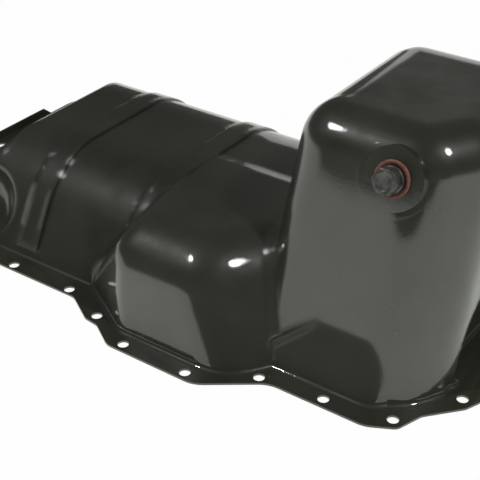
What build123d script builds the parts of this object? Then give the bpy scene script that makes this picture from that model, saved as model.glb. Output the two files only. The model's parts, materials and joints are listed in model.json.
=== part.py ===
from build123d import *
import os
from math import atan2, cos, degrees, radians, sin, tan

# Pressed steel engine oil pan, bottom up: the gasket face lies on z = 0 and the sump stands up along +Z.
# X runs along the engine, Y across it. The origin is the middle of the flange on the gasket face.

# Sheet
sheet = 1.6

# Gasket flange
flange_length = 520.0
flange_width = 264.0
left_corner_radius = 25.0
rail_ledge = 16.8
hole_diameter = 7.85
hole_edge = 5.1
rail_pitch = 56.7
first_rail_hole = -214.8
near_rail_holes = 4
far_rail_holes = 7
right_end_holes = 4
right_end_edge = 10.9
right_end_pitch = 48.73
left_end_holes = 3
left_end_edge = 9.3
left_end_pitch = 82.0
left_end_shift = 9.0

# Single holes, each by its distance from the right end and from the side of the flange
neck_hole = (85.1, 7.0)
shoulder_hole = (38.3, 15.3)

# Corners of the flange's right end as (distance from the end, distance from the side, radius)
right_end_corners = (
    (51.0, 0.0, 20.0),
    (32.0, 9.8, 8.0),
    (25.0, 29.3, 10.0),
    (5.0, 51.8, 10.0),
    (0.0, 63.3, 8.0),
)

# Turned up lip on the left end of the flange
lip_height = 9.5
lip_length = 168.0
lip_bend = 1.5

# Trough, the long shallow part
trough_height = 75.0
trough_angle = 60.5
trough_shoulder = 64.0
shelf_height = 14.0
shelf_ledge = 24.0
shelf_length = 62.0
ramp_angle = 20.0
ramp_edge_radius = 5.0

# Ribs pressed outwards across the trough
rib_height = 1.8
rib_width = 20.0
rib_starts = (-112.0, -16.0)
rib_edge_radius = 1.4
rib_foot = 9.0

# Bulge on the near side of the trough
bulge_left = -31.1
bulge_crest_left = -42.0
bulge_right = 132.0
bulge_face_left = 16.0
bulge_face_right = 93.0
bulge_reach = 13.7
bulge_height = 76.5
bulge_draft = 13.0
bulge_left_turn = 59.3
bulge_left_draft = 7.0
bulge_crest_turn = 11.0
bulge_crest_draft = 35.0
bulge_right_turn = 35.0
bulge_right_draft = 30.0
bulge_shoulder = 40.0
bulge_left_radius = 20.0
bulge_right_radius = 40.0
bulge_edge_radius = 10.0

# Flange round the foot of the bulge: corners as (x, distance out from the straight side, radius)
bulge_rail = bulge_reach + rail_ledge - 1.0
bulge_corners = (
    (bulge_left - 5.0, 0.0, 12.0),
    (bulge_left + 19.5, 14.9, 9.0),
    (bulge_left + 31.5, 16.4, 9.0),
    (bulge_face_left + 5.0, bulge_rail, 13.0),
    (bulge_face_right + 2.8, bulge_rail, 22.0),
    (bulge_right + 4.8, 0.0, 22.0),
)

# Bolt holes round the bulge as (x, distance out from the straight side)
bulge_holes = (
    (bulge_left + 25.0, 8.3),
    (bulge_face_left + 14.9, bulge_reach + rail_ledge / 2 + 1.0),
    (bulge_face_right - 8.3, bulge_reach + rail_ledge / 2 + 1.0),
    (bulge_right - 3.7, -1.2),
)

# Sump, the deep end
sump_height = 172.0
sump_length = 140.0
sump_ledge = 20.3
sump_end_ledge = 22.0
sump_near_draft = 15.2
sump_far_draft = 10.0
sump_left_draft = 3.0
sump_right_draft = 1.0
sump_left_radius = 30.0
sump_right_radius = 40.0
sump_top_radius = 30.0
sump_cut_width = 22.0
sump_cut_length = 34.0
sump_cut_share = 0.7

# Flare at the foot of the sump's side walls
flare_ledge = 14.8
flare_start = 6.0
flare_end = 20.0
flare_draft = 22.0
flare_start_draft = 50.0
flare_height = 60.0
flare_radius = 25.0

# Radii where the forms run into each other, into the flange and round the pressed hollows
seam_radius = 8.0
foot_radius = 4.0
rim_radius = 6.0

# Round pocket pressed into the near wall of the trough
pocket_x = -156.0
pocket_radius = 36.0
pocket_depth = 16.0
pocket_z = 27.0

# Arch pressed into the right end wall
arch_radius = 58.0
arch_depth = 15.0

# Scallops beside the outer holes of the right end
scallop_radius = 13.5
scallop_height = 10.0

# Drain boss and plug, placed by the distance from the flange's right end and from the sump's floor
drain_from_end = 73.7
drain_from_floor = 27.0
boss_diameter = 42.0
boss_height = 1.4
thread_diameter = 14.0
thread_clearance = 0.05
drain_hole_clearance = 0.5
nut_across_flats = 22.0
nut_height = 9.0
washer_diameter = 24.8
washer_thickness = 2.0
washer_clearance = 0.3
seat_gap = 0.02
plug_across_flats = 16.0
plug_head_height = 8.0
plug_collar_diameter = 18.0
plug_collar_thickness = 2.0
plug_tail = 3.0
plug_chamfer = 1.2
head_chamfer = 0.8

half_length = flange_length / 2
half_width = flange_width / 2
skirt = 20.0
reach = 2 * flange_length
drain_x = half_length - drain_from_end
drain_z = sump_height - drain_from_floor


def slope(angle):
    return tan(radians(angle))


# Flange

def flange_corners():
    """Outline corners as (x, y, radius), anticlockwise from the near left corner."""
    right_end = [(half_length - along, half_width - side, r) for along, side, r in right_end_corners]
    near = [(-half_length, -half_width, left_corner_radius)]
    near += [(x, -half_width - out, r) for x, out, r in bulge_corners]
    near += [(x, -y, r) for x, y, r in right_end]
    return near + right_end[::-1] + [(-half_length, half_width, left_corner_radius)]


def row(middle, pitch, count):
    """Places of evenly spaced holes about a middle."""
    return [middle + pitch * (i - (count - 1) / 2) for i in range(count)]


def hole_places():
    """Centres of the bolt holes."""
    rail_y = half_width - hole_edge
    rail_x = [first_rail_hole + rail_pitch * i for i in range(far_rail_holes)]
    places = [(x, rail_y) for x in rail_x]
    places += [(x, -rail_y) for x in rail_x[:near_rail_holes]]
    for along, side in (neck_hole, shoulder_hole):
        places += [(half_length - along, half_width - side), (half_length - along, side - half_width)]
    places += [(x, -half_width - out) for x, out in bulge_holes]
    places += [(half_length - right_end_edge, y) for y in row(0, right_end_pitch, right_end_holes)]
    places += [(left_end_edge - half_length, y) for y in row(left_end_shift, left_end_pitch, left_end_holes)]
    return places


def flange_outline():
    corners = flange_corners()
    plate = make_face(Polyline([(x, y) for x, y, r in corners], close=True))
    for x, y, r in corners:
        plate = fillet(plate.vertices().sort_by_distance((x, y, 0))[0], r)
    return plate


def lip_strip():
    """Upright edge along the left end, with a rounded bend at its foot and sloping ends."""
    left = -half_length
    root = left + lip_bend + sheet
    profile = make_face(
        Polyline((left, 0), (root, 0), (root, sheet), (left + sheet, sheet),
                 (left + sheet, lip_height), (left, lip_height), close=True)
    )
    profile = fillet(profile.vertices().sort_by_distance((left, 0, 0))[0], lip_bend + sheet)
    profile = fillet(profile.vertices().sort_by_distance((left + sheet, sheet, 0))[0], lip_bend)
    end = lip_length / 2
    side = make_face(
        Polyline((-end, 0), (end, 0), (end, sheet), (end - lip_height, lip_height),
                 (lip_height - end, lip_height), (-end, sheet), close=True)
    )
    return extrude(Plane.XZ * profile, reach, both=True) & extrude(Plane.YZ * side, reach, both=True)


# Forms of the shell: each is made for a face lying inset below the outer face

def slanted(walls, height, inset):
    """Block cut by leaning walls, each given as (x, y, heading, draft), and carried on below z = 0.

    A wall passes through (x, y) on the gasket face, faces the heading and leans inwards by the draft.
    """
    depth = height - inset + skirt
    body = Pos(0, 0, height - inset - depth / 2) * Box(reach, reach, depth)
    for x, y, heading, draft in walls:
        out = Vector(1, 0, 0).rotate(Axis.Y, -draft).rotate(Axis.Z, heading)
        body = split(body, Plane(origin=Vector(x, y, 0) - out * inset, z_dir=out), keep=Keep.BOTTOM)
    return body.solid()


def uprights(body, low_x, high_x):
    """Edges that climb between two walls, with their middle in a range of X."""
    climbing = [e for e in body.edges() if abs(e.tangent_at(0.5).Z) > 0.15]
    return [e for e in climbing if low_x < e.center().X < high_x]


def section(points, inset):
    face = make_face(Polyline(points, close=True))
    if inset:
        face = offset(face, -inset, kind=Kind.INTERSECTION).face()
    return face


def trough_section(inset):
    """Cross section of the trough, with wide round shoulders."""
    foot = half_width - rail_ledge
    run = 1 / slope(trough_angle)
    points = [
        (-foot - skirt * run, -skirt),
        (foot + skirt * run, -skirt),
        (foot - trough_height * run, trough_height),
        (-foot + trough_height * run, trough_height),
    ]
    face = section(points, inset)
    return fillet(face.vertices().sort_by(Axis.Y)[-2:], trough_shoulder - inset)


def trough(inset):
    start = -half_length + shelf_ledge
    step = start + shelf_length
    rise = trough_height - shelf_height
    lean = slope(ramp_angle)
    end = half_length - sump_end_ledge - sump_length / 2
    points = [
        (start - skirt * lean, -skirt),
        (start + shelf_height * lean, shelf_height),
        (step, shelf_height),
        (step + rise * lean, trough_height),
        (end, trough_height),
        (end, -skirt),
    ]
    side = section(points, inset)
    brink = side.vertices().sort_by_distance((step + rise * lean, trough_height, 0))[0]
    side = fillet(brink, ramp_edge_radius - inset)
    across = extrude(Plane.YZ * trough_section(inset), reach, both=True)
    along = extrude(Plane.XZ * side, reach, both=True)
    return (across & along).solid()


def rib(inset, start):
    """Band that follows the trough section, standing out from it by the rib height."""
    band = extrude(Plane.YZ.offset(start + inset) * trough_section(inset - rib_height), rib_width - 2 * inset)
    band = band - Pos(0, 0, rib_foot - reach / 2) * Box(2 * reach, reach, reach)
    if inset == 0:
        rims = [e for e in band.edges() if abs(e.tangent_at(0.5).X) < 0.01 and e.center().Z > rib_foot + 1]
        band = band.fillet(rib_edge_radius, rims)
    return band


def bulge(inset):
    """Block with leaning walls and a wide round shoulder over its near face.

    Its left flank twists: a steep wall at the foot gives way to a flatter one under the crest.
    """
    face_y = -half_width - bulge_reach
    wall_y = -half_width + rail_ledge
    walls = [
        (bulge_left, wall_y, 180 + bulge_left_turn, bulge_left_draft),
        (bulge_crest_left, wall_y, 180 + bulge_crest_turn, bulge_crest_draft),
        (bulge_right, wall_y, -bulge_right_turn, bulge_right_draft),
    ]
    points = [
        (face_y - skirt * slope(bulge_draft), -skirt),
        (0, -skirt),
        (0, bulge_height),
        (face_y + bulge_height * slope(bulge_draft), bulge_height),
    ]
    side = section(points, inset)
    shoulder = side.vertices().sort_by(Axis.X)[:2].sort_by(Axis.Y)[-1]
    side = fillet(shoulder, bulge_shoulder - inset)
    body = (extrude(Plane.YZ * side, reach, both=True) & slanted(walls, bulge_height, inset)).solid()
    middle = (bulge_left + bulge_right) / 2
    body = body.fillet(bulge_right_radius - inset, uprights(body, middle, reach))
    body = body.fillet(bulge_left_radius - inset, uprights(body, -reach, middle))
    return body.fillet(bulge_edge_radius - inset, body.faces().sort_by(Axis.Z)[-1].edges())


def sump(inset):
    """Block with six leaning walls, rounded between them and round the top."""
    near = -half_width + sump_ledge
    far = half_width - sump_ledge
    right = half_length - sump_end_ledge
    left = right - sump_length
    turn = degrees(atan2(sump_cut_length, sump_cut_width))
    walls = [
        (left, near, -90, sump_near_draft),
        (left, far, 90, sump_far_draft),
        (left, near, 180, sump_left_draft),
        (right, near, 0, sump_right_draft),
        (right, near + sump_cut_length, turn - 90, sump_near_draft * sump_cut_share),
        (right, far - sump_cut_length, 90 - turn, sump_far_draft * sump_cut_share),
    ]
    body = slanted(walls, sump_height, inset)
    middle = (left + right) / 2
    body = body.fillet(sump_left_radius - inset, uprights(body, left - skirt, middle))
    body = body.fillet(sump_right_radius - inset, uprights(body, middle, right + skirt))
    return body.fillet(sump_top_radius - inset, body.faces().sort_by(Axis.Z)[-1].edges())


def flare(inset):
    """Low block that widens the foot of the sump on both sides."""
    side = half_width - flare_ledge
    right = half_length - sump_end_ledge
    walls = [
        (0, -side, -90, flare_draft),
        (0, side, 90, flare_draft),
        (right - sump_length + flare_start, 0, 180, flare_start_draft),
        (right - flare_end, 0, 0, sump_left_draft),
    ]
    body = slanted(walls, flare_height, inset)
    return body.fillet(flare_radius - inset, uprights(body, right - sump_length / 2, reach))


def drain_plane():
    """Frame on the near wall of the sump: origin on the outer face, Z straight out of the wall."""
    near = -half_width + sump_ledge + drain_z * slope(sump_near_draft)
    lean = radians(sump_near_draft)
    return Plane(origin=(drain_x, near, drain_z), x_dir=(1, 0, 0), z_dir=(0, -cos(lean), sin(lean)))


def disc(radius, start, end):
    """Round bar on the drain axis between two heights above the wall."""
    return drain_plane() * (Pos(0, 0, (start + end) / 2) * Cylinder(radius, end - start))


def pocket(inset):
    """Ball that presses the round pocket into the near wall of the trough."""
    lean = radians(trough_angle)
    away = pocket_radius - pocket_depth
    wall = -half_width + rail_ledge + pocket_z / tan(lean)
    return Pos(pocket_x, wall - away * sin(lean), pocket_z + away * cos(lean)) * Sphere(pocket_radius + inset)


def arch(inset):
    """Round bar that presses the arch into the right end wall."""
    depth = arch_depth + inset
    centre = half_length - sump_end_ledge - depth + reach / 2
    return Pos(centre, 0, 0) * Rot(0, 90, 0) * Cylinder(arch_radius + inset, reach)


def scallop(inset):
    """Upright round pocket beside an end hole, so that a bolt head clears the wall."""
    y = right_end_pitch * (right_end_holes - 1) / 2
    tool = None
    for side in (-1, 1):
        place = Pos(half_length - right_end_edge, side * y, 0)
        ball = place * Pos(0, 0, scallop_height) * Sphere(scallop_radius + inset)
        bar = place * Pos(0, 0, (scallop_height - skirt) / 2) * Cylinder(scallop_radius + inset, scallop_height + skirt)
        tool = bar + ball if tool is None else tool + bar + ball
    return tool


def pressed(body, press, radius):
    """Body with a hollow pressed in and its rim rounded."""
    hollowed = (body - press).solid()
    return hollowed.fillet(radius, new_edges(body, press, combined=hollowed))


def form(inset):
    """Whole drawn form of the pan at one depth in the sheet: 0 is its outer face.

    It rises from a wide plate whose top is the face of the flange at the same depth. The seams
    between the big forms are rounded on the outer face.
    """
    blocks = [trough(inset), bulge(inset), sump(inset)]
    body = (blocks[0] + blocks[1] + blocks[2]).solid()
    if inset == 0:
        seams = [e for e in new_edges(*blocks, combined=body) if e.center().Z > 0]
        body = body.fillet(seam_radius, seams)
    body = (body + flare(inset)).solid()
    body = pressed(body, pocket(inset), rim_radius - inset)
    body = pressed(body, arch(inset), rim_radius - inset)
    body -= scallop(inset)
    for start in rib_starts:
        body += rib(inset, start)
    body += disc(boss_diameter / 2 - inset, -boss_diameter / 2, boss_height - inset)
    body = body.solid()
    plate = Pos(0, 0, sheet - inset - skirt) * Box(reach, reach, 2 * skirt)
    whole = (body + plate).solid()
    return whole.fillet(foot_radius + inset, new_edges(body, plate, combined=whole))


def pan():
    """Drawn shell: the space between the outer and the inner form, trimmed, pierced and given its lip."""
    shell = (extrude(flange_outline(), 2 * sump_height) & form(0)) - form(sheet)
    root = lip_bend + sheet
    shell -= Pos(-half_length, 0, 0) * Box(2 * root, lip_length, 2 * root)
    shell += lip_strip()
    for x, y in hole_places():
        shell -= Pos(x, y, sheet / 2) * Cylinder(hole_diameter / 2, 4 * sheet)
    shell -= disc(thread_diameter / 2 + drain_hole_clearance, -boss_diameter / 2, 2 * boss_height)
    return shell


# Drain nut, washer and plug

def hexagon(across_flats, start, end):
    """Hexagonal bar on the drain axis, with its outer corners chamfered."""
    outline = RegularPolygon(across_flats / 2, 6, major_radius=False)
    bar = extrude(outline, end - start)
    turned = Cylinder(across_flats / 3 ** 0.5, end - start, align=(Align.CENTER, Align.CENTER, Align.MIN))
    turned = chamfer(turned.edges().filter_by(GeomType.CIRCLE).group_by(Axis.Z)[-1], head_chamfer, 2 * head_chamfer)
    return drain_plane() * (Pos(0, 0, start) * (bar & turned))


def drain_nut():
    seat = boss_height - sheet
    outline = RegularPolygon(nut_across_flats / 2, 6, major_radius=False)
    bore = Circle(thread_diameter / 2 + thread_clearance)
    return drain_plane() * (Pos(0, 0, seat - nut_height) * extrude(outline - bore, nut_height))


def drain_washer():
    ring = Circle(washer_diameter / 2) - Circle(thread_diameter / 2 + washer_clearance)
    return drain_plane() * (Pos(0, 0, boss_height) * extrude(ring, washer_thickness))


def drain_plug():
    seat = boss_height + washer_thickness + seat_gap
    tip = boss_height - sheet - nut_height - plug_tail
    shank = Pos(0, 0, tip) * extrude(Circle(thread_diameter / 2), seat - tip)
    shank = chamfer(shank.edges().group_by(Axis.Z)[0], plug_chamfer)
    collar = Pos(0, 0, seat) * extrude(Circle(plug_collar_diameter / 2), plug_collar_thickness)
    body = drain_plane() * (shank + collar)
    top = seat + plug_collar_thickness
    return body + hexagon(plug_across_flats, top, top + plug_head_height)


os.makedirs("parts", exist_ok=True)
export_step(pan(), "parts/pan.step")
export_step(drain_nut(), "parts/drain_nut.step")
export_step(drain_washer(), "parts/drain_washer.step")
export_step(drain_plug(), "parts/drain_plug.step")
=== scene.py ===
import bpy
import json
from math import cos, pi, radians, sin
from mathutils import Matrix, Vector


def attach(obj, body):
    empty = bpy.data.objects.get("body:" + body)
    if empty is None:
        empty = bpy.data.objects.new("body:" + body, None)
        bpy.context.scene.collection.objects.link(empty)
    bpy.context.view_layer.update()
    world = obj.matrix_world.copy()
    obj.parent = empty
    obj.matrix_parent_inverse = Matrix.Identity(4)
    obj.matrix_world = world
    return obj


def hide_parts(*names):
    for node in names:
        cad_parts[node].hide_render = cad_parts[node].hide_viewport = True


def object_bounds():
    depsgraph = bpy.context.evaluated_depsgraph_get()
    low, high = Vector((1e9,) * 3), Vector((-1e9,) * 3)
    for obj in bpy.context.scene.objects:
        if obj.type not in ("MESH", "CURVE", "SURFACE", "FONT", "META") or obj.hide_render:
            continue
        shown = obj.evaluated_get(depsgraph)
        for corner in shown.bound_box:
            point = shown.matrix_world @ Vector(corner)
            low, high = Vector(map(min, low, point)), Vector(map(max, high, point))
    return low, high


# Pressed steel engine oil pan, stood upside down on its gasket flange: a shallow ribbed trough,
# a bulge on its near side, a deep sump at its right end, and a drain plug with its sealing ring.
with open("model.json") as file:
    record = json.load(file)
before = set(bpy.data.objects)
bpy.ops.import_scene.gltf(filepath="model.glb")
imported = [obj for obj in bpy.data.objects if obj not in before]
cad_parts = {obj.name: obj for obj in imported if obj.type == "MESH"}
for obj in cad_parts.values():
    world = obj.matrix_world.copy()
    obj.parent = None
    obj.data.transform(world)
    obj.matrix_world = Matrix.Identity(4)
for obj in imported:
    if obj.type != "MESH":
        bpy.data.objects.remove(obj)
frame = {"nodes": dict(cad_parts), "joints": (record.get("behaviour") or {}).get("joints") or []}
cad_box = [list(corner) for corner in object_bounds()]


# Camera
# A long lens looks down on the pan from its near right corner, close enough to crop both its ends.
camera = bpy.data.objects.new("camera", bpy.data.cameras.new("camera"))
bpy.context.collection.objects.link(camera)
camera.location = (0.46053, -0.62554, 0.488)
camera.rotation_euler = (radians(57.6), 0, radians(35.1))
camera.data.lens = 85.95
camera.data.sensor_width = 36
camera.data.clip_start = 0.01
bpy.context.scene.camera = camera
bpy.context.scene.view_settings.view_transform = "Standard"


# Floor and backdrop
# One wide matt white floor, which is the backdrop too. It looks white to the camera. In the paint it is
# white near the pan and fades to dark far from it.
def floor_white(name, colour, own_light, lit_to, dark_from):
    """Matt white with its own light: reflections see it whole as far as lit_to, and not past dark_from."""
    material = bpy.data.materials.new(name)
    material.use_nodes = True
    nodes, links = material.node_tree.nodes, material.node_tree.links
    nodes.clear()
    place = nodes.new("ShaderNodeTexCoord")
    away = nodes.new("ShaderNodeVectorMath")
    away.operation = "LENGTH"
    links.new(place.outputs["Object"], away.inputs[0])
    fade = nodes.new("ShaderNodeMapRange")
    fade.interpolation_type = "SMOOTHSTEP"
    fade.inputs["From Min"].default_value = lit_to
    fade.inputs["From Max"].default_value = dark_from
    fade.inputs["To Min"].default_value = 1
    fade.inputs["To Max"].default_value = 0
    links.new(away.outputs["Value"], fade.inputs["Value"])
    path = nodes.new("ShaderNodeLightPath")
    mirrored = nodes.new("ShaderNodeMath")
    mirrored.operation = "MAXIMUM"
    links.new(path.outputs["Is Glossy Ray"], mirrored.inputs[0])
    links.new(path.outputs["Is Transmission Ray"], mirrored.inputs[1])
    dimmed = nodes.new("ShaderNodeMath")
    dimmed.operation = "MULTIPLY"
    links.new(mirrored.outputs[0], dimmed.inputs[0])
    links.new(fade.outputs["Result"], dimmed.inputs[1])
    seen = nodes.new("ShaderNodeMath")
    seen.operation = "MAXIMUM"
    links.new(dimmed.outputs[0], seen.inputs[0])
    links.new(path.outputs["Is Camera Ray"], seen.inputs[1])
    share = nodes.new("ShaderNodeMath")
    share.operation = "MULTIPLY"
    share.inputs[1].default_value = own_light
    links.new(seen.outputs[0], share.inputs[0])
    matt = nodes.new("ShaderNodeBsdfDiffuse")
    matt.inputs["Color"].default_value = (*colour, 1)
    glow = nodes.new("ShaderNodeEmission")
    tint = nodes.new("ShaderNodeMix")
    tint.data_type = "RGBA"
    reflected_tint, seen_tint = (0.97, 1.0, 0.93, 1), (1, 1, 1, 1)
    tint.inputs["A"].default_value = reflected_tint
    tint.inputs["B"].default_value = seen_tint
    links.new(path.outputs["Is Camera Ray"], tint.inputs["Factor"])
    links.new(tint.outputs["Result"], glow.inputs["Color"])
    mix = nodes.new("ShaderNodeMixShader")
    links.new(share.outputs[0], mix.inputs[0])
    links.new(matt.outputs[0], mix.inputs[1])
    links.new(glow.outputs[0], mix.inputs[2])
    out = nodes.new("ShaderNodeOutputMaterial")
    links.new(mix.outputs[0], out.inputs["Surface"])
    return material


floor_size = 12
floor_gap = 0.0002
floor_height = cad_box[0][2] - floor_gap
bpy.ops.object.select_all(action="DESELECT")
bpy.ops.mesh.primitive_plane_add(size=floor_size, location=(0, 0, floor_height))
floor = bpy.context.object
floor.name = "floor"
white = floor_white("white_floor", (0.9, 0.9, 0.9), own_light=0.98, lit_to=2.0, dark_from=5.5)
floor.data.materials.append(white)


# Lights
# Two small soft boxes stand high on the left and right, and a wide dim panel low behind the pan. The
# room around them is dark in the paint and white to the camera.
def soft_box(name, place, aim, size, power):
    """Rectangular lamp aimed at a point: place, aim and size in metres, power in watts."""
    light = bpy.data.objects.new(name, bpy.data.lights.new(name, "AREA"))
    bpy.context.collection.objects.link(light)
    light.data.shape = "RECTANGLE"
    light.data.size, light.data.size_y = size
    light.data.energy = power
    light.location = place
    light.rotation_euler = (Vector(aim) - Vector(place)).to_track_quat("-Z", "Y").to_euler()


soft_box("left_box", place=(-0.7, -0.9, 1.5), aim=(0, 0, 0), size=(0.12, 0.10), power=9)
soft_box("right_box", place=(1.3, -0.1, 1.5), aim=(0.1, 0, 0), size=(0.14, 0.2), power=10)
soft_box("back_panel", place=(-0.4, 2.1, 0.5), aim=(0, 0, 0.1), size=(1.5, 0.9), power=3.8)

world = bpy.data.worlds.new("studio")
bpy.context.scene.world = world
world.use_nodes = True
world_nodes, world_links = world.node_tree.nodes, world.node_tree.links
room = world_nodes["Background"]
rays = world_nodes.new("ShaderNodeLightPath")
tone = world_nodes.new("ShaderNodeMix")
tone.data_type = "RGBA"
dark_room, seen_room = (0.06, 0.06, 0.06, 1), (1, 1, 1, 1)
tone.inputs["A"].default_value = dark_room
tone.inputs["B"].default_value = seen_room
world_links.new(rays.outputs["Is Camera Ray"], tone.inputs["Factor"])
world_links.new(tone.outputs["Result"], room.inputs["Color"])


# Pan
# One sheet of steel, drawn deep in a press, pierced and trimmed, and dipped in gloss black enamel.
# The enamel lies in a thin wavy coat with a little dust in it, over the faint waves of the pressing.
def specks_group():
    """Small round specks of dust: Scale in cells a metre, Amount the share of cells that have one, and
    Size its radius as a share of the cell."""
    group = bpy.data.node_groups.new("dust_specks", "ShaderNodeTree")
    group.interface.new_socket("Scale", in_out="INPUT", socket_type="NodeSocketFloat")
    group.interface.new_socket("Amount", in_out="INPUT", socket_type="NodeSocketFloat")
    group.interface.new_socket("Size", in_out="INPUT", socket_type="NodeSocketFloat")
    group.interface.new_socket("Mask", in_out="OUTPUT", socket_type="NodeSocketFloat")
    nodes, links = group.nodes, group.links
    given = nodes.new("NodeGroupInput")
    out = nodes.new("NodeGroupOutput")
    place = nodes.new("ShaderNodeTexCoord")
    cells = nodes.new("ShaderNodeTexVoronoi")
    links.new(place.outputs["Object"], cells.inputs["Vector"])
    links.new(given.outputs["Scale"], cells.inputs["Scale"])
    dot = nodes.new("ShaderNodeMath")
    dot.operation = "LESS_THAN"
    links.new(cells.outputs["Distance"], dot.inputs[0])
    links.new(given.outputs["Size"], dot.inputs[1])
    hue = nodes.new("ShaderNodeSeparateColor")
    links.new(cells.outputs["Color"], hue.inputs[0])
    chosen = nodes.new("ShaderNodeMath")
    chosen.operation = "LESS_THAN"
    links.new(hue.outputs[0], chosen.inputs[0])
    links.new(given.outputs["Amount"], chosen.inputs[1])
    mask = nodes.new("ShaderNodeMath")
    mask.operation = "MULTIPLY"
    links.new(dot.outputs[0], mask.inputs[0])
    links.new(chosen.outputs[0], mask.inputs[1])
    links.new(mask.outputs[0], out.inputs["Mask"])
    return group


def noise(nodes, links, scale, detail, roughness=0.5):
    """Noise in object space, scale in waves a metre."""
    place = nodes.new("ShaderNodeTexCoord")
    texture = nodes.new("ShaderNodeTexNoise")
    texture.inputs["Scale"].default_value = scale
    texture.inputs["Detail"].default_value = detail
    texture.inputs["Roughness"].default_value = roughness
    links.new(place.outputs["Object"], texture.inputs["Vector"])
    return texture.outputs["Fac"]


def spread(nodes, links, value, low, high, to_low, to_high):
    """Value stretched from the range of low and high to that of to_low and to_high."""
    stretch = nodes.new("ShaderNodeMapRange")
    stretch.inputs["From Min"].default_value = low
    stretch.inputs["From Max"].default_value = high
    stretch.inputs["To Min"].default_value = to_low
    stretch.inputs["To Max"].default_value = to_high
    links.new(value, stretch.inputs["Value"])
    return stretch.outputs["Result"]


def two_tone(nodes, links, value, dark, light):
    """Colour between dark and light, by a value of 0 to 1."""
    mix = nodes.new("ShaderNodeMix")
    mix.data_type = "RGBA"
    mix.inputs["A"].default_value = (*dark, 1)
    mix.inputs["B"].default_value = (*light, 1)
    links.new(value, mix.inputs["Factor"])
    return mix.outputs["Result"]


def bumps(nodes, links, heights, normal=None):
    """Normal from a chain of heights, each with the metres that its full range stands for."""
    for height, distance in heights:
        bump = nodes.new("ShaderNodeBump")
        bump.inputs["Strength"].default_value = 1.0
        bump.inputs["Distance"].default_value = distance
        links.new(height, bump.inputs["Height"])
        if normal:
            links.new(normal, bump.inputs["Normal"])
        normal = bump.outputs["Normal"]
    return normal


dust = specks_group()


def specks(nodes, scale, amount, size):
    """Mask of the dust group, placed in a material with its own values."""
    group = nodes.new("ShaderNodeGroup")
    group.node_tree = dust
    group.inputs["Scale"].default_value = scale
    group.inputs["Amount"].default_value = amount
    group.inputs["Size"].default_value = size
    return group.outputs["Mask"]


def drain_frame():
    """Frame of the drain: X along the engine and Z straight out of the sump's wall."""
    joint = next(joint for joint in frame["joints"] if joint["name"] == "plug_turn")
    out = Vector(joint["axis"]).normalized()
    along = Vector((1, 0, 0))
    up = out.cross(along)
    turn = Matrix((along, up, out)).transposed().to_4x4()
    return Matrix.Translation(Vector(joint["pos_m"])) @ turn


def off_drain_axis(nodes, links):
    """Distance from the drain axis, in metres."""
    place = nodes.new("ShaderNodeTexCoord")
    centred = nodes.new("ShaderNodeMapping")
    centred.vector_type = "TEXTURE"
    centred.inputs["Location"].default_value = drain_frame().translation
    centred.inputs["Rotation"].default_value = drain_frame().to_euler()
    links.new(place.outputs["Object"], centred.inputs["Vector"])
    flat = nodes.new("ShaderNodeVectorMath")
    flat.operation = "MULTIPLY"
    flat.inputs[1].default_value = (1, 1, 0)
    links.new(centred.outputs["Vector"], flat.inputs[0])
    away = nodes.new("ShaderNodeVectorMath")
    away.operation = "LENGTH"
    links.new(flat.outputs[0], away.inputs[0])
    return away.outputs["Value"]


def enamel():
    """Black under a clear gloss, a little patchy, with dust in it. The hard edges of the drawn forms are
    rounded in shading, and the flange and the drain's boss stay crisp."""
    edge_radius = 0.007
    flat_to, soft_from = 0.006, 0.012
    boss_to, wall_from = 0.024, 0.032
    press_depth, paint_depth = 0.0004, 0.000009
    dust_colour = (0.16, 0.155, 0.14, 1)
    material = bpy.data.materials.new("gloss_black_enamel")
    material.use_nodes = True
    nodes, links = material.node_tree.nodes, material.node_tree.links
    shader = nodes["Principled BSDF"]
    shader.inputs["IOR"].default_value = 1.45
    shader.inputs["Coat Weight"].default_value = 1.0
    shader.inputs["Coat Roughness"].default_value = 0.03
    shader.inputs["Coat IOR"].default_value = 1.7
    patches = spread(nodes, links, noise(nodes, links, 11, 3), 0.35, 0.65, 0, 1)
    black = two_tone(nodes, links, patches, (0.026, 0.0256, 0.0165), (0.044, 0.043, 0.029))
    grit = specks(nodes, scale=170, amount=0.3, size=0.06)
    dusty = nodes.new("ShaderNodeMix")
    dusty.data_type = "RGBA"
    dusty.inputs["B"].default_value = dust_colour
    links.new(grit, dusty.inputs["Factor"])
    links.new(black, dusty.inputs["A"])
    links.new(dusty.outputs["Result"], shader.inputs["Base Color"])
    haze = spread(nodes, links, noise(nodes, links, 34, 4, 0.6), 0.3, 0.7, 0.34, 0.56)
    links.new(haze, shader.inputs["Roughness"])
    press_waves = noise(nodes, links, 13, 2)
    paint_waves = noise(nodes, links, 420, 2)
    soft_edges = nodes.new("ShaderNodeBevel")
    soft_edges.samples = 6
    soft_edges.inputs["Radius"].default_value = edge_radius
    place = nodes.new("ShaderNodeTexCoord")
    height = nodes.new("ShaderNodeSeparateXYZ")
    links.new(place.outputs["Object"], height.inputs[0])
    above_flange = spread(nodes, links, height.outputs["Z"], flat_to, soft_from, 0, 1)
    off_boss = spread(nodes, links, off_drain_axis(nodes, links), boss_to, wall_from, 0, 1)
    softened = nodes.new("ShaderNodeMath")
    softened.operation = "MULTIPLY"
    links.new(above_flange, softened.inputs[0])
    links.new(off_boss, softened.inputs[1])
    surface = nodes.new("ShaderNodeNewGeometry")
    blend = nodes.new("ShaderNodeMix")
    blend.data_type = "VECTOR"
    links.new(softened.outputs[0], blend.inputs["Factor"])
    links.new(surface.outputs["Normal"], blend.inputs["A"])
    links.new(soft_edges.outputs["Normal"], blend.inputs["B"])
    heights = ((press_waves, press_depth), (paint_waves, paint_depth))
    normal = bumps(nodes, links, heights, blend.outputs["Result"])
    links.new(normal, shader.inputs["Normal"])
    links.new(normal, shader.inputs["Coat Normal"])
    return material


pan = frame["nodes"]["pan"]
paint = enamel()
for slot in pan.material_slots:
    slot.material = paint


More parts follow.
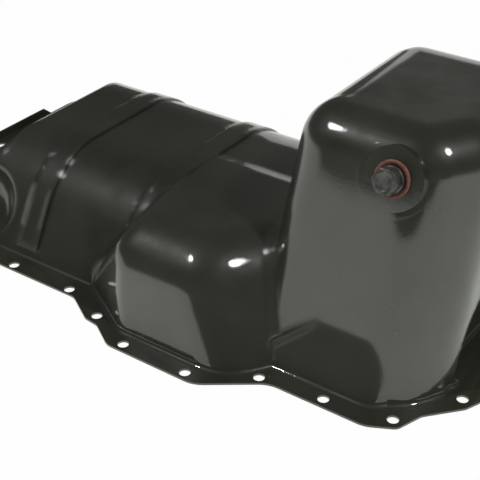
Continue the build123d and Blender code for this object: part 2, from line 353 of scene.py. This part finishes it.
# Drain nut
# A hexagon of plain zinc plated steel, welded to the inside of the sump wall behind the drain hole.
def plated_steel(name, dull, bright, roughness, metal):
    """Steel with a blotchy finish between dull and bright, small dents, and a fine grain."""
    dent_depth, grain_depth = 0.00012, 0.00003
    material = bpy.data.materials.new(name)
    material.use_nodes = True
    nodes, links = material.node_tree.nodes, material.node_tree.links
    shader = nodes["Principled BSDF"]
    shader.inputs["Metallic"].default_value = metal
    blotches = spread(nodes, links, noise(nodes, links, 220, 4), 0.3, 0.7, 0, 1)
    links.new(two_tone(nodes, links, blotches, dull, bright), shader.inputs["Base Color"])
    smoothest, roughest = roughness - 0.08, roughness + 0.1
    rough = spread(nodes, links, noise(nodes, links, 700, 3), 0.3, 0.7, smoothest, roughest)
    links.new(rough, shader.inputs["Roughness"])
    grain = noise(nodes, links, 1400, 3)
    dents = noise(nodes, links, 260, 2)
    heights = ((dents, dent_depth), (grain, grain_depth))
    links.new(bumps(nodes, links, heights), shader.inputs["Normal"])
    return material


nut = frame["nodes"]["drain_nut"]
zinc = plated_steel("nut_zinc", (0.25, 0.24, 0.22), (0.42, 0.41, 0.38), roughness=0.42, metal=0.9)
for slot in nut.material_slots:
    slot.material = zinc


# Sealing washer
# A ring of reddish brown fibre and rubber, moulded with a round bead outside and a flat seat inside.
same_point = 0.000001


def lathe(name, profile, steps):
    """Turned piece: a point is extruded along the profile of (radius, height), and spun about Z."""
    bpy.ops.object.select_all(action="DESELECT")
    bpy.ops.mesh.primitive_plane_add(size=0.001, location=(0, 0, 0))
    piece = bpy.context.object
    piece.name = name
    bpy.ops.object.mode_set(mode="EDIT")
    bpy.ops.mesh.select_all(action="SELECT")
    bpy.ops.mesh.merge(type="CENTER")
    bpy.ops.transform.translate(value=(profile[0][0], 0, profile[0][1]))
    for (radius, height), (next_radius, next_height) in zip(profile, profile[1:]):
        step = (next_radius - radius, 0, next_height - height)
        bpy.ops.mesh.extrude_vertices_move(TRANSFORM_OT_translate={"value": step})
    bpy.ops.mesh.select_all(action="SELECT")
    bpy.ops.mesh.spin(steps=steps, angle=2 * pi, center=(0, 0, 0), axis=(0, 0, 1))
    bpy.ops.mesh.select_all(action="SELECT")
    bpy.ops.mesh.remove_doubles(threshold=same_point)
    bpy.ops.mesh.normals_make_consistent(inside=False)
    bpy.ops.object.mode_set(mode="OBJECT")
    return piece


def apply(piece, kind, **settings):
    """Adds a modifier to a piece and applies it."""
    bpy.ops.object.select_all(action="DESELECT")
    piece.select_set(True)
    bpy.context.view_layer.objects.active = piece
    modifier = piece.modifiers.new(kind.lower(), kind)
    for name, value in settings.items():
        setattr(modifier, name, value)
    bpy.ops.object.modifier_apply(modifier=modifier.name)


def seat(piece, angle):
    """Puts a piece made about Z on the drain axis, with its place in its mesh. Edges sharper than the
    angle in degrees stay sharp, and the rest is shaded smooth."""
    bpy.ops.object.select_all(action="DESELECT")
    piece.select_set(True)
    bpy.context.view_layer.objects.active = piece
    piece.matrix_world = drain_frame()
    bpy.ops.object.transform_apply(location=True, rotation=True, scale=True)
    bpy.ops.object.shade_smooth_by_angle(angle=radians(angle))


def drain_height(node, end):
    """Lowest or highest place of a node along the drain axis."""
    inverse = drain_frame().inverted()
    places = [(inverse @ vertex.co).z for vertex in frame["nodes"][node].data.vertices]
    return min(places) if end == "low" else max(places)


def round_section(middle, height, radius, start, stop, steps):
    """Part of a round profile about (middle, height), from one angle in degrees to another."""
    angles = [radians(start + (stop - start) * step / steps) for step in range(steps + 1)]
    return [(middle + radius * cos(angle), height + radius * sin(angle)) for angle in angles]


washer_radius = 0.0124
washer_bore = 0.0073
bead = 0.0010
seat_radius = 0.0098
seat_step = 0.00025
ring_chamfer = 0.0003
ring_low = drain_height("drain_washer", "low")
ring_high = drain_height("drain_washer", "high")
ring_middle = (ring_low + ring_high) / 2
inner_seat = ring_high - seat_step
section = round_section(washer_radius - bead, ring_middle, bead, start=-90, stop=110, steps=12)
section += [(seat_radius, inner_seat), (washer_bore + ring_chamfer, inner_seat)]
section += [(washer_bore, inner_seat - ring_chamfer), (washer_bore, ring_low + ring_chamfer)]
section += [(washer_bore + ring_chamfer, ring_low), section[0]]
washer = lathe("sealing_washer", section, steps=96)


def fibre():
    """Dark red where the plug's collar presses, and a rubbed pale brown on the bead round it."""
    seat_to, bead_from = 0.0100, 0.0108
    fuzz_depth = 0.00004
    material = bpy.data.materials.new("red_brown_fibre")
    material.use_nodes = True
    nodes, links = material.node_tree.nodes, material.node_tree.links
    shader = nodes["Principled BSDF"]
    ring = spread(nodes, links, off_drain_axis(nodes, links), seat_to, bead_from, 0, 1)
    rubbed = spread(nodes, links, noise(nodes, links, 900, 3), 0.3, 0.7, 0, 1)
    seat_red = two_tone(nodes, links, rubbed, (0.040, 0.009, 0.006), (0.085, 0.020, 0.012))
    bead_brown = two_tone(nodes, links, rubbed, (0.21, 0.085, 0.058), (0.38, 0.185, 0.135))
    both = nodes.new("ShaderNodeMix")
    both.data_type = "RGBA"
    links.new(ring, both.inputs["Factor"])
    links.new(seat_red, both.inputs["A"])
    links.new(bead_brown, both.inputs["B"])
    links.new(both.outputs["Result"], shader.inputs["Base Color"])
    rough = spread(nodes, links, noise(nodes, links, 600, 3), 0.3, 0.7, 0.42, 0.62)
    links.new(rough, shader.inputs["Roughness"])
    fuzz = noise(nodes, links, 1500, 4)
    links.new(bumps(nodes, links, ((fuzz, fuzz_depth),)), shader.inputs["Normal"])
    return material


washer.data.materials.append(fibre())
seat(washer, angle=40)
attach(washer, "washer")
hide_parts("drain_washer")


# Drain plug
# A forged hexagon head and collar on a rolled M14 thread, with a black oxide finish. The head's end
# has a shallow dish.
across_flats = 0.016
collar_radius = 0.009
collar_height = 0.002
collar_gap = 0.00002
collar_foot_round = 0.0004
collar_top_round = 0.0008
thread_radius = 0.007
thread_root = 0.0061
thread_pitch = 0.0015
end_chamfer = 0.0010
plug_low = drain_height("drain_plug", "low")
plug_high = drain_height("drain_plug", "high")
collar_low = ring_high + collar_gap
collar_high = collar_low + collar_height
groove_end = ring_low - 0.0012
shank_start = ring_low - 0.0004
core = [(0, plug_low), (thread_root - end_chamfer, plug_low), (thread_root, plug_low + end_chamfer)]
core += [(thread_root, groove_end), (thread_radius, shank_start), (thread_radius, collar_low)]
core += round_section(collar_radius - collar_foot_round, collar_low + collar_foot_round,
                      collar_foot_round, start=-90, stop=0, steps=3)
core += round_section(collar_radius - collar_top_round, collar_high - collar_top_round,
                      collar_top_round, start=0, stop=90, steps=5)
core += [(0, collar_high)]
plug = lathe("drain_plug_piece", core, steps=96)

# The thread is one ridge, swept round the core in a helix. It stands a little proud of the shank, and
# a narrow flat of the core shows between its turns.
ridge_depth = (thread_radius - thread_root) * 1.02
ridge_width_share = 0.94
ridge_start = plug_low + 0.0018
ridge_room = groove_end - plug_low - 0.0026
bpy.ops.object.select_all(action="DESELECT")
bpy.ops.mesh.primitive_circle_add(vertices=4, radius=thread_pitch / 2, rotation=(pi / 2, 0, 0))
ridge = bpy.context.object
bpy.ops.object.transform_apply(location=True, rotation=True, scale=True)
ridge.scale = (ridge_depth / (thread_pitch / 2), 1, ridge_width_share)
bpy.ops.object.transform_apply(location=True, rotation=True, scale=True)
bpy.ops.object.mode_set(mode="EDIT")
bpy.ops.mesh.select_all(action="SELECT")
bpy.ops.transform.translate(value=(thread_root, 0, ridge_start))
bpy.ops.object.mode_set(mode="OBJECT")
turns = int(ridge_room / thread_pitch)
apply(ridge, "SCREW", screw_offset=thread_pitch, iterations=turns, steps=48, render_steps=48,
      use_merge_vertices=False)
bpy.ops.object.mode_set(mode="EDIT")
bpy.ops.mesh.select_all(action="SELECT")
bpy.ops.mesh.remove_doubles(threshold=same_point)
bpy.ops.mesh.fill_holes(sides=6)
bpy.ops.mesh.normals_make_consistent(inside=False)
bpy.ops.object.mode_set(mode="OBJECT")

# The head is a hexagonal bar, sunk a little into the collar. Its end is turned to a shallow cone, and
# the dish is pressed into it.
bar_radius = across_flats / 3 ** 0.5
bar_low = collar_high - 0.0004
bar_edge_round = 0.00025
turned_radius = bar_radius + 0.0002
turned_low = collar_high - 0.002
cone_low = plug_high - 0.0009
end_radius = across_flats / 2 - 0.0004
dish_rim, dish_edge = 0.0058, 0.0054
dish_side = plug_high - 0.0004
dish_middle = plug_high - 0.0005
bpy.ops.object.select_all(action="DESELECT")
bpy.ops.mesh.primitive_cylinder_add(vertices=6, radius=bar_radius, depth=plug_high - bar_low,
                                    location=(0, 0, (plug_high + bar_low) / 2), rotation=(0, 0, pi / 6))
head = bpy.context.object
head.name = "head"
bpy.ops.object.transform_apply(location=True, rotation=True, scale=True)
turned_profile = [(0, turned_low), (turned_radius, turned_low), (turned_radius, cone_low)]
turned_profile += [(end_radius, plug_high), (dish_rim, plug_high)]
turned_profile += [(dish_edge, dish_side), (0, dish_middle)]
turned = lathe("turned", turned_profile, steps=72)
apply(head, "BOOLEAN", operation="INTERSECT", object=turned, solver="EXACT")
bpy.data.objects.remove(turned)
apply(head, "BEVEL", width=bar_edge_round, segments=2, limit_method="ANGLE", angle_limit=radians(28))

# Ridge, head and core become one piece.
bpy.ops.object.select_all(action="DESELECT")
for piece in (ridge, head, plug):
    piece.select_set(True)
bpy.context.view_layer.objects.active = plug
bpy.ops.object.join()
oxide = plated_steel("plug_black_oxide", (0.06, 0.059, 0.056), (0.19, 0.186, 0.178),
                     roughness=0.42, metal=0.55)
plug.data.materials.append(oxide)
seat(plug, angle=30)
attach(plug, "plug")
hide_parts("drain_plug")
